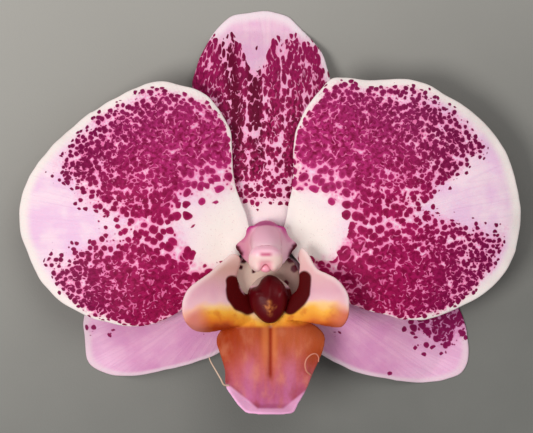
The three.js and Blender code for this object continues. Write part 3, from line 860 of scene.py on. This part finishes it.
shaft = tube(
    [
        (HEART.x, HEART.y, RECEPTACLE_Z), (HEART.x, HEART.y, 12.5), (HEART.x, -6, 15.4),
        (HEART.x, -7.3, 17.8), (HEART.x, -9.07, 19.8),
    ],
    lambda along, angle: HEART_RADIUS - 0.3 * along ** 2, 40,
)
collar = tube(
    [(HEART.x, HEART.y, 9.8), (HEART.x, HEART.y, 11.5), (HEART.x, HEART.y - 0.1, 13.6)],
    collar_radius, 40,
)
wings = wall(
    WINGS_OUTLINE, (-0.7, -7), 24, FOOT_THICKNESS, lambda x, y, share: WINGS_Z - 0.03 * x * x,
)
foot = wall(
    FOOT_OUTLINE, (-0.2, -13), 28, FOOT_THICKNESS, lambda x, y, share: FOOT_Z + 1.1 * share ** 2,
)
column_mesh = grown_together([shaft, collar, wings, foot], grain=0.18, rounds=8)

FOOT_SPOTS = [
    (-5.4, -10.1, 0.7), (-6.0, -11.6, 0.45), (-3.2, -12.3, 0.5), (4.4, -9.8, 0.9), (5.2, -11.8, 0.8),
    (3.5, -14.8, 0.55),
]
RING = [(-5.6, -5.8), (-4.2, -3.0), (-2.6, -2.3), (1.2, -2.3), (2.8, -3.0), (4.2, -5.8)]
WING_STREAKS = [[(-7.6, -7.0), (-6.6, -7.6), (-5.9, -8.6)], [(6.4, -6.5), (5.2, -7.2), (4.4, -9.2)]]
tones = column_mesh.verts.layers.float_vector.new("tones")
for vert in column_mesh.verts:
    x, y, z = vert.co / MM
    ring = min(1.0, 1.3 * hump(near(x, y, RING), 0, 0.7))
    ring *= 0.4 + 0.6 * smoothstep(y, -6.0, -2.6)
    ring *= smoothstep(z, 11.2, 13.6) * smoothstep(z, 16.8, 15.4)
    ragged = 0.25 * noise.noise(Vector((x, y, 2)) * 1.6)
    from_tip = min(near(x, y, path) for path in WING_STREAKS) + ragged
    streak = smoothstep(from_tip, 0.85, 0.1)
    ring = max(ring, 0.45 * hump(max(0.0, from_tip), 0, 1.3))
    spotted = max(smoothstep(math.hypot(x - a, y - b) + ragged, size * 1.3, size * 0.7)
                  for a, b, size in FOOT_SPOTS)
    low = smoothstep(z, 13.6, 13.2) * smoothstep(-y, 5.5, 7.0)
    vert[tones] = (ring * (1 - low), max(streak * (1 - low), spotted * low), low)

material, tree, shader = new_material("column_skin", 0.42, 0.15)
cell, mottle = flesh_of(tree)
in_ring, dark, on_foot = parts_of(laid(tree, "tones"))
x, y, _ = parts_of(place_on(tree))
# The foot darkens from pale beige at its left to grey-brown at its right: painted shade.
foot_with_painted_shade = blend(fade(x, -0.003, 0.004), (246, 216, 198), (146, 112, 102))
colour = coats((236, 170, 190), [
    (mottle, (244, 192, 206)),
    (fade(y, -0.0052, -0.0078), (248, 204, 212)),
    # darker on the column's left side: painted shade
    (fade(x, -0.0030, -0.0046), (208, 142, 156)),
    (in_ring, (184, 28, 122)),
    (on_foot, foot_with_painted_shade),
    (dark, (80, 0, 24)),
])
finish_with(shader, colour, cell, depth=0.00005)
thin_flesh(shader)
show("column_body", column_mesh, [material], "column")


# Pollinarium
# Two waxy pollen masses on a short strap, hidden below the cap. Only the sticky pink pad at the
# strap's end shows, in the notch at the cap's front edge.

TIP_LEAN = math.radians(40)
TIP_PLACE = Vector((HEART.x - 0.1, -9.25, 20))


def on_column_tip(mesh):
    """Leans a mesh shaped upright, in millimetres, onto the column's tip."""
    lean = Vector((0, math.cos(TIP_LEAN), math.sin(TIP_LEAN)))
    rise = Vector((0, -math.sin(TIP_LEAN), math.cos(TIP_LEAN)))
    for vert in mesh.verts:
        x, y, z = vert.co
        vert.co = (TIP_PLACE + Vector((x, 0, 0)) + lean * y + rise * z) * MM
    return mesh


pollen = bmesh.new()
for side in (-0.75, 0.75):
    mass = bmesh.ops.create_icosphere(pollen, subdivisions=3, radius=0.55)["verts"]
    bmesh.ops.scale(pollen, verts=mass, vec=(1, 1.1, 0.75))
    bmesh.ops.translate(pollen, verts=mass, vec=(side, 0.5, 0.35))
strap = bmesh.ops.create_cube(pollen, size=1)["verts"]
bmesh.ops.scale(pollen, verts=strap, vec=(0.9, 2.6, 0.35))
bmesh.ops.translate(pollen, verts=strap, vec=(0, -0.8, 0.0))
pad = bmesh.ops.create_icosphere(pollen, subdivisions=3, radius=1.3)["verts"]
bmesh.ops.scale(pollen, verts=pad, vec=(1, 0.8, 0.9))
bmesh.ops.translate(pollen, verts=pad, vec=(0, -1.4, 1.8))
pollen = grown_together([on_column_tip(pollen)], grain=0.09, rounds=5)

material, tree, shader = new_material("pollen_wax", 0.3, 0.5)
cell, mottle = flesh_of(tree)
pink = blend(mottle, (246, 150, 170), (250, 172, 186))
finish_with(shader, pink, cell, depth=0.00003)
show("pollinarium_wax", pollen, [material], "pollinarium")


# Anther cap
# A small loose helmet on the column's tip, blush white and smooth, with two low swellings, a
# crease across its top and a notch at its front edge where the pollinarium's pad shows.

CAP_DOME = 1.9
CAP_SWELLING = 0.65
CAP_CREASE = 0.22
CAP_OUTLINE = [
    (3.5, 0.4), (2.9, 2), (1.6, 2.9), (0, 3.1), (-1.6, 2.9), (-2.9, 2), (-3.5, 0.4), (-3.4, -1.4),
    (-2.5, -2.8), (-1.75, -2.9), (-1.6, -1.3), (0, -0.1), (1.6, -1.3), (1.75, -2.9), (2.5, -2.8),
    (3.4, -1.4),
]


def lump(outline, hub, cells, top, bottom):
    """A closed body between two heights over one outline, in millimetres."""
    middle = Vector((*hub, 0))
    halves = []
    for height in (top, bottom):
        half = web(outline, hub, cells)
        share_of = half.verts.layers.float["share"]
        for vert in half.verts:
            share = math.sin(vert[share_of] * math.pi / 2)
            if vert[share_of] > 0:
                vert.co = middle + (vert.co - middle) * share / vert[share_of]
            vert.co.z = height(vert.co.x, vert.co.y, share)
        halves.append(half)
    whole = together(halves)
    bmesh.ops.remove_doubles(whole, verts=whole.verts, dist=0.001)
    rims = [edge for edge in whole.edges if edge.is_boundary]
    if rims:
        bmesh.ops.bridge_loops(whole, edges=rims)
    bmesh.ops.recalc_face_normals(whole, faces=whole.faces)
    return whole


def cap_top(x, y, share):
    swelling = CAP_SWELLING * hump(abs(x), 1.75, 1.0) * hump(y, -1, 1.3)
    crease = CAP_CREASE * hump(y, 0.55, 0.28) * hump(x, 0, 1.1)
    dome = CAP_DOME * math.sqrt(1 - share * share * 0.96)
    return 0.8 + dome + swelling * (1 - share ** 8) - crease


def cap_bottom(x, y, share):
    return 1.3 * (1 - share * share) + 0.25 * max(0, -y) * hump(x, 0, 0.9)


cap_mesh = lump(CAP_OUTLINE, (0, 0.4), 30, cap_top, cap_bottom)
cap_mesh = grown_together([on_column_tip(cap_mesh)], grain=0.12, rounds=5)

material, tree, shader = new_material("cap_skin", 0.34, 0.45)
cell, mottle = flesh_of(tree)
x, y, _ = parts_of(place_on(tree))
off_middle = gap_to(x, -0.0008)
by_notch = times(fade(off_middle, 0.0021, 0.0006), fade(y, -0.0092, -0.0110, 0.0, 0.85))
crease = fade(gap_to(y, -0.0088), 0.0007, 0.0)
crease = times(crease, fade(off_middle, 0.0018, 0.0006, 0.0, 0.9))
blush = coats((248, 204, 200), [
    (mottle, (250, 220, 210)),
    # lighter toward the right side: painted light against the shade there
    (fade(x, -0.0012, 0.0012), (255, 216, 206)),
    (fade(y, -0.0098, -0.0080), (250, 188, 204)),
    (by_notch, (240, 146, 164)),
    (crease, (206, 84, 124)),
])
finish_with(shader, blush, cell, depth=0.00004)
thin_flesh(shader, 0.2)
show("anther_cap_shell", cap_mesh, [material], "anther_cap")


# Lip
# One grown piece in front of the column: two shallow side lobes with a yellow roll along their
# front edge, a long grooved midlobe from orange to magenta with its rim turned up at the tip,
# and two thread-like whiskers.

LIP_THICKNESS = 1.0
LIP_BASE_Z = 14.0
SIDE_LOBE_LENGTH = 14.5
SIDE_LOBE_RISE = 5.6
ROLL_Y = -22.2
MIDLOBE_Y = -21.4
MIDLOBE_LENGTH = 21
MIDLOBE_RISE = 4.6
RIM_RISE = 2.2
GROOVE_DEPTH = 0.55

SIDE_LOBE_LEFT_OUTLINE = [
    (-7.7, -8.6), (-9.8, -10.2), (-12.4, -12.5), (-14.5, -14), (-16.8, -15.8), (-18, -18.2),
    (-18.2, -20.4), (-17.5, -22.8), (-15.6, -24.6), (-12.4, -24.9), (-8.7, -24.2), (-5.1, -23.4),
    (-2.4, -22.6), (-3.5, -19.9), (-4.5, -17.5), (-5.7, -16.3), (-6.4, -14.8), (-6.8, -13.2),
    (-6.2, -11.3), (-6.2, -9.4),
]
SIDE_LOBE_RIGHT_OUTLINE = [
    (6.9, -7.4), (8.2, -8.8), (9.1, -10.6), (10.1, -11.9), (11.8, -12.7), (13.9, -13.8), (15.4, -15.4),
    (16.4, -17.3), (16.6, -19.6), (16.3, -22), (15, -23.8), (12.3, -23.7), (9.1, -23.1), (5.6, -22.6),
    (2.6, -22.4), (3.3, -19.8), (4.6, -17.3), (5.7, -16.2), (6.2, -14.5), (6.2, -12.8), (6.3, -10.9),
    (6.0, -8.6),
]
MIDLOBE_OUTLINE = [
    (-10.8, -25.6), (-11.1, -27.3), (-10.5, -29.2), (-9.8, -31.3), (-9.3, -33.2), (-9.3, -35.1),
    (-9, -36.6), (-8, -38), (-6.6, -39.9), (-5.5, -41), (-4.3, -41.7), (0.1, -41.9), (4.6, -41.7),
    (5.7, -40.1), (7, -38), (8.2, -35.8), (9.1, -33.6), (10.1, -31.5), (11, -29.4), (11.6, -27.1),
    (11.3, -25.3), (9.2, -23.4), (5, -21.8), (0.2, -21.4), (-5, -21.9), (-9, -23.6),
]
LIP_BASE_OUTLINE = [
    (-3.6, -20), (-4.6, -17.6), (-4, -15.4), (-2, -13.6), (0.3, -13.2), (2.4, -14), (4.4, -16),
    (4.6, -18), (3.8, -20.4), (3, -23.2), (0.1, -23.8), (-2.8, -23.2),
]


def side_lobe_height(x, y, share):
    outward = min(1.0, max(0.0, (abs(x - HEART.x) - 3.4) / SIDE_LOBE_LENGTH))
    rolled = max(0.0, ROLL_Y - y)
    return LIP_BASE_Z + SIDE_LOBE_RISE * math.sin(outward * math.pi / 2) - 0.42 * rolled ** 1.8


def midlobe_height(x, y, share):
    along = min(1.0, max(0.0, (MIDLOBE_Y - y) / MIDLOBE_LENGTH))
    rim = max(0.0, share - 0.84) / 0.16
    groove = GROOVE_DEPTH * hump(x, 0.2, 0.5) * smoothstep(y, -35.5, -33)
    turned = RIM_RISE * rim * smoothstep(along, 0.6, 0.85)
    return LIP_BASE_Z + MIDLOBE_RISE * along - 0.014 * x * x + turned - groove


def roll_thickness(x, y, share):
    return 1 - 0.45 * share ** 6 + 0.5 * hump(y, -21.3, 1.9)


lip_mesh = grown_together([
    wall(SIDE_LOBE_LEFT_OUTLINE, (-11, -18.6), 40, LIP_THICKNESS, side_lobe_height, roll_thickness),
    wall(SIDE_LOBE_RIGHT_OUTLINE, (10, -18.2), 40, LIP_THICKNESS, side_lobe_height, roll_thickness),
    wall(MIDLOBE_OUTLINE, (0.2, -31), 48, LIP_THICKNESS, midlobe_height),
    wall(LIP_BASE_OUTLINE, (0, -18.4), 16, LIP_THICKNESS, lambda x, y, share: LIP_BASE_Z),
], grain=0.22, rounds=6)

MAROON_LEFT = [(-7.6, -14.6), (-7.7, -16.0), (-7.2, -17.5), (-6.1, -18.7), (-4.4, -19.4)]
MAROON_RIGHT = [(7.3, -13.4), (7.2, -15.0), (6.8, -16.6), (5.9, -18.0), (4.2, -19.1)]
SHIELD_FOOT = [(-1.4, -17.4), (1.2, -17.4)]
lobe_marks = lip_mesh.verts.layers.float_vector.new("lobe_marks")
tongue_marks = lip_mesh.verts.layers.float_vector.new("tongue_marks")
for vert in lip_mesh.verts:
    x, y, z = vert.co / MM

    # the maroon bars at both sides of the callus
    outer = abs(x - 0.2)
    wobble = 0.35 * noise.noise(Vector((x, y, 1)) / 2.2)
    reach = 1.3 + 0.09 * (-13 - y) + wobble
    maroon = max(smoothstep(near(x, y, path), reach + 0.2, reach - 0.2)
                 for path in (MAROON_LEFT, MAROON_RIGHT))

    # the share of the way over the yellow roll
    band_start = -18.4 + 2.4 * wobble + 0.5 * smoothstep(x, -2, 5)
    band_start -= 0.035 * max(0.0, outer - 11) ** 2 + 0.32 * max(0.0, 9 - outer)
    band = (band_start - y) / 5.2

    # the midlobe, the share of the way down it, its rim and its groove
    mid = smoothstep(-y, 23.4, 24.4) * smoothstep(outer, 12.6, 11.6)
    along = (-23 - y) / 18
    edge_line = 8.7 - 1.25 * max(0.0, -36.0 - y)
    rim = smoothstep(outer, edge_line - 0.5, edge_line + 0.4) * smoothstep(-y, 35.4, 36.6)
    rim = max(rim, smoothstep(-y, 40.5, 41.1)) * mid
    groove = hump(x, 0.2, 0.42) * smoothstep(-y, 22.6, 24) * smoothstep(-y, 35.5, 33.5)

    # the lip under the callus, pale toward the column, where painted shade turns it grey-beige, and
    # the pale margin of the side lobes
    by_shield = smoothstep(near(x, y, SHIELD_FOOT), 4.4, 3.6)
    pale = by_shield * smoothstep(-y, 15.8, 15.0) * smoothstep(z, 16.4, 15.4)
    under_shield = by_shield * smoothstep(-y, 15.4, 16.2) * (1 - mid) * (y > -21.6)
    outline = SIDE_LOBE_LEFT_OUTLINE[:12] if x < 0 else SIDE_LOBE_RIGHT_OUTLINE[:12]
    margin = 0.75 * smoothstep(near(x, y, outline), 1.4, 0.1) * smoothstep(-y, 21.5, 18)
    maroon = max(maroon * smoothstep(z, 13.0, 13.8), under_shield)
    vert[lobe_marks] = (maroon, band, mid)
    vert[tongue_marks] = (along, max(rim, margin), max(groove * mid, pale))

material, tree, shader = new_material("lip_skin", 0.4, 0.08)
cell, mottle = flesh_of(tree)
place = place_on(tree)
x, y, _ = parts_of(place)
outer = figure("ABSOLUTE", x)
maroon, band, on_tongue = parts_of(laid(tree, "lobe_marks"))
along, on_rim, groove_and_shaded_base = parts_of(laid(tree, "tongue_marks"))


def ramp(value, stops):
    """A colour that runs through stops, each a number from 0 to 1 and its colour."""
    node = add("ValToRGB", {0: value})
    elements = node.color_ramp.elements
    while len(elements) < len(stops):
        elements.new(0.5)
    for element, (position, colour) in zip(elements, stops):
        element.position = position
        element.color = paint(colour)
    return node.outputs["Color"]


left_to_right = fade(x, -0.008, 0.006)
arm = blend(left_to_right, (206, 158, 146), (226, 176, 174))
arm_top = blend(left_to_right, (230, 194, 182), (230, 190, 184))
freckles = fade(cloud(place, 520, 2.0), 0.45, 0.75)
freckles = times(freckles, fade(band, 0.1, 0.6, 0.0, 0.7))
ends = times(fade(outer, 0.0118, 0.0158), fade(band, -0.2, 0.4))
end_tone = blend(left_to_right, (212, 124, 112), (208, 106, 82))
end_tone = blend(fade(band, 0.55, 0.05), end_tone, (236, 164, 160))
uneven_band = figure("MULTIPLY_ADD", figure("SUBTRACT", mottle, 0.5), 0.35, band)
# The roll's brown lower edge, where it rolls under, is partly painted shade.
gold = ramp(uneven_band, [
    (0.0, (238, 192, 196)), (0.2, (248, 200, 136)), (0.4, (245, 178, 68)),
    (0.62, (236, 150, 45)), (0.85, (212, 106, 38)), (1.0, (172, 72, 32)),
])
lobe = coats((230, 178, 182), [
    (cloud(place, 260, 3.0, (1.6, 0.7, 1)), (214, 150, 174)),
    (fade(y, -0.0172, -0.0112), arm),
    (fade(y, -0.0120, -0.0086), arm_top),
    (fade(uneven_band, -0.45, 0.25), gold),
    (freckles, (204, 104, 34)),
    (times(ends, 0.95), end_tone),
    (times(on_rim, 0.7), (250, 226, 222)),
    # grey-beige on the pale lip toward the column: painted shade
    (groove_and_shaded_base, (190, 160, 148)),
    (maroon, (78, 0, 2)),
])

streaks = cloud(place, 1.0, 3.0, (900, 120, 120))
patches = cloud(place, 1.0, 3.0, (330, 190, 190))
sides = times(fade(outer, 0.0045, 0.0095), fade(along, 0.75, 0.3))
lilac = fade(gap_to(outer, 0.0042), 0.0022, 0.0)
lilac = times(lilac, fade(along, 0.25, 0.6, 0.0, 0.45))
# Over the top of the midlobe: painted shade at its left, painted light at its right.
shade_left_light_right = blend(left_to_right, (140, 40, 12), (218, 122, 78))
by_groove = times(fade(outer, 0.0022, 0.0008), fade(along, 0.8, 0.2))
rim_tone = blend(left_to_right, (252, 184, 222), (226, 160, 196))
uneven_along = figure("MULTIPLY_ADD", figure("SUBTRACT", streaks, 0.5), 0.5, along)
# The brown of its first stops, at the top of the midlobe under the roll, is partly painted shadow.
orange_to_magenta = ramp(uneven_along, [
    (0.0, (158, 58, 22)), (0.16, (180, 74, 34)), (0.4, (196, 94, 82)),
    (0.6, (196, 96, 106)), (0.82, (182, 88, 120)), (1.0, (186, 94, 138)),
])
tongue = coats(orange_to_magenta, [
    (sides, (168, 58, 8)),
    (lilac, (206, 118, 160)),
    (fade(patches, 0.48, 0.78, 0.0, 0.5), (222, 138, 104)),
    (fade(patches, 0.5, 0.26, 0.0, 0.5), (156, 56, 34)),
    (fade(cloud(place, 1300, 3.0), 0.5, 0.7, 0.0, 0.14), (160, 66, 60)),
    (fade(along, 0.55, 0.15, 0.0, 0.3), shade_left_light_right),
    (times(by_groove, 0.5), (226, 130, 66)),
    (times(groove_and_shaded_base, 0.9), (146, 26, 0)),
    (on_rim, rim_tone),
])
tree.links.new(fade(maroon, 0.0, 1.0, 0.38, 0.6), shader.inputs["Roughness"])
colour = blend(on_tongue, lobe, tongue)
finish_with(shader, colour, figure("MULTIPLY_ADD", streaks, 0.6, cell), depth=0.00006)
thin_flesh(shader, 0.15)
show("lip_body", lip_mesh, [material], "lip")

whiskers = [
    tube(points, lambda along, angle: 0.19 - 0.08 * along, 10)
    for points in (
        [(-8.4, -36.1, 17), (-9.5, -35.9, 17.8), (-10.2, -34.6, 18.2), (-11.2, -32.9, 18.1),
         (-12.2, -31.2, 17.6), (-12.6, -30.2, 17)],
        [(8.6, -34, 16), (7.7, -33.1, 17), (7.4, -31.8, 17.5), (7.7, -30.6, 17.6), (8.6, -29.7, 17.5),
         (9.6, -29.5, 17.2), (10.2, -30.2, 16.9), (10.2, -31.2, 16.8)],
    )
]
material, tree, shader = new_material("whisker_skin", 0.4)
cell, mottle = flesh_of(tree)
thread = coats((208, 122, 98), [
    (fade(parts_of(place_on(tree))["X"], 0.006, -0.008), (214, 190, 164)),
    (times(mottle, 0.5), (222, 160, 138)),
])
finish_with(shader, thread, cell, depth=0.00003)
for name, whisker in zip(("lip_whisker_left", "lip_whisker_right"), whiskers):
    show(name, whisker, [material], "lip")


# Callus
# The hard, glossy shield that grows on the lip between the side lobes: dark maroon, with a
# blunt horn at each side, a low ridge down its middle and a gold mark.

CALLUS_DOME = 3.4
HORN_HEIGHT = 0.9
RIDGE_HEIGHT = 0.35
CALLUS_OUTLINE = [
    (-0.3, -13.1), (-1.6, -14), (-2.5, -15.4), (-4, -16.1), (-4.2, -17.9), (-3.8, -20), (-2.6, -21.7),
    (-1.2, -22.9), (0.2, -23.2), (1.6, -22.7), (2.8, -21.3), (3.5, -19.6), (3.8, -17.6), (3.4, -15.9),
    (2.6, -14.6), (1.2, -13.4),
]


def callus_bottom(x, y, share):
    return (LIP_BASE_Z + LIP_THICKNESS / 2 + JOIN_GAP + 0.16 * max(0, -20 - y)
            + 0.42 * max(0, abs(x - HEART.x) - 2.5))


def callus_top(x, y, share):
    dome = CALLUS_DOME * math.sqrt(max(0.0, 1 - share * share))
    horns = HORN_HEIGHT * hump(abs(x), 2.9, 0.9) * hump(y, -16.6, 1.1) * (1 - share ** 6)
    ridge = RIDGE_HEIGHT * hump(x, 0, 0.6) * (1 - share)
    return callus_bottom(x, y, share) + dome + horns + ridge


callus_mesh = lump(CALLUS_OUTLINE, (0, -18.2), 32, callus_top, callus_bottom)
bmesh.ops.scale(callus_mesh, verts=callus_mesh.verts, vec=(MM, MM, MM))
GOLD_MARKS = [
    ([(-0.1, -18.8), (0.1, -21.2)], 0.42), ([(0.0, -20.6), (-0.9, -19.6)], 0.28),
    ([(0.0, -20.6), (1.1, -19.6)], 0.28),
]
gilded = callus_mesh.verts.layers.float.new("gilded")
for vert in callus_mesh.verts:
    x, y, _ = vert.co / MM
    vert[gilded] = max(hump(near(x, y, path), 0, width) for path, width in GOLD_MARKS)

material, tree, shader = new_material("callus_skin", 0.38, 0.12)
cell, mottle = flesh_of(tree)
fleck = fade(cloud(place_on(tree), 1100), 0.25, 0.7)
maroon = coats((74, 0, 8), [
    (mottle, (96, 6, 14)),
    (times(laid(tree, "gilded", "Fac"), fleck), (204, 120, 62)),
])
finish_with(shader, maroon, cell, depth=0.00005)
soften(show("lip_callus_shield", callus_mesh, [material], "lip_callus"))
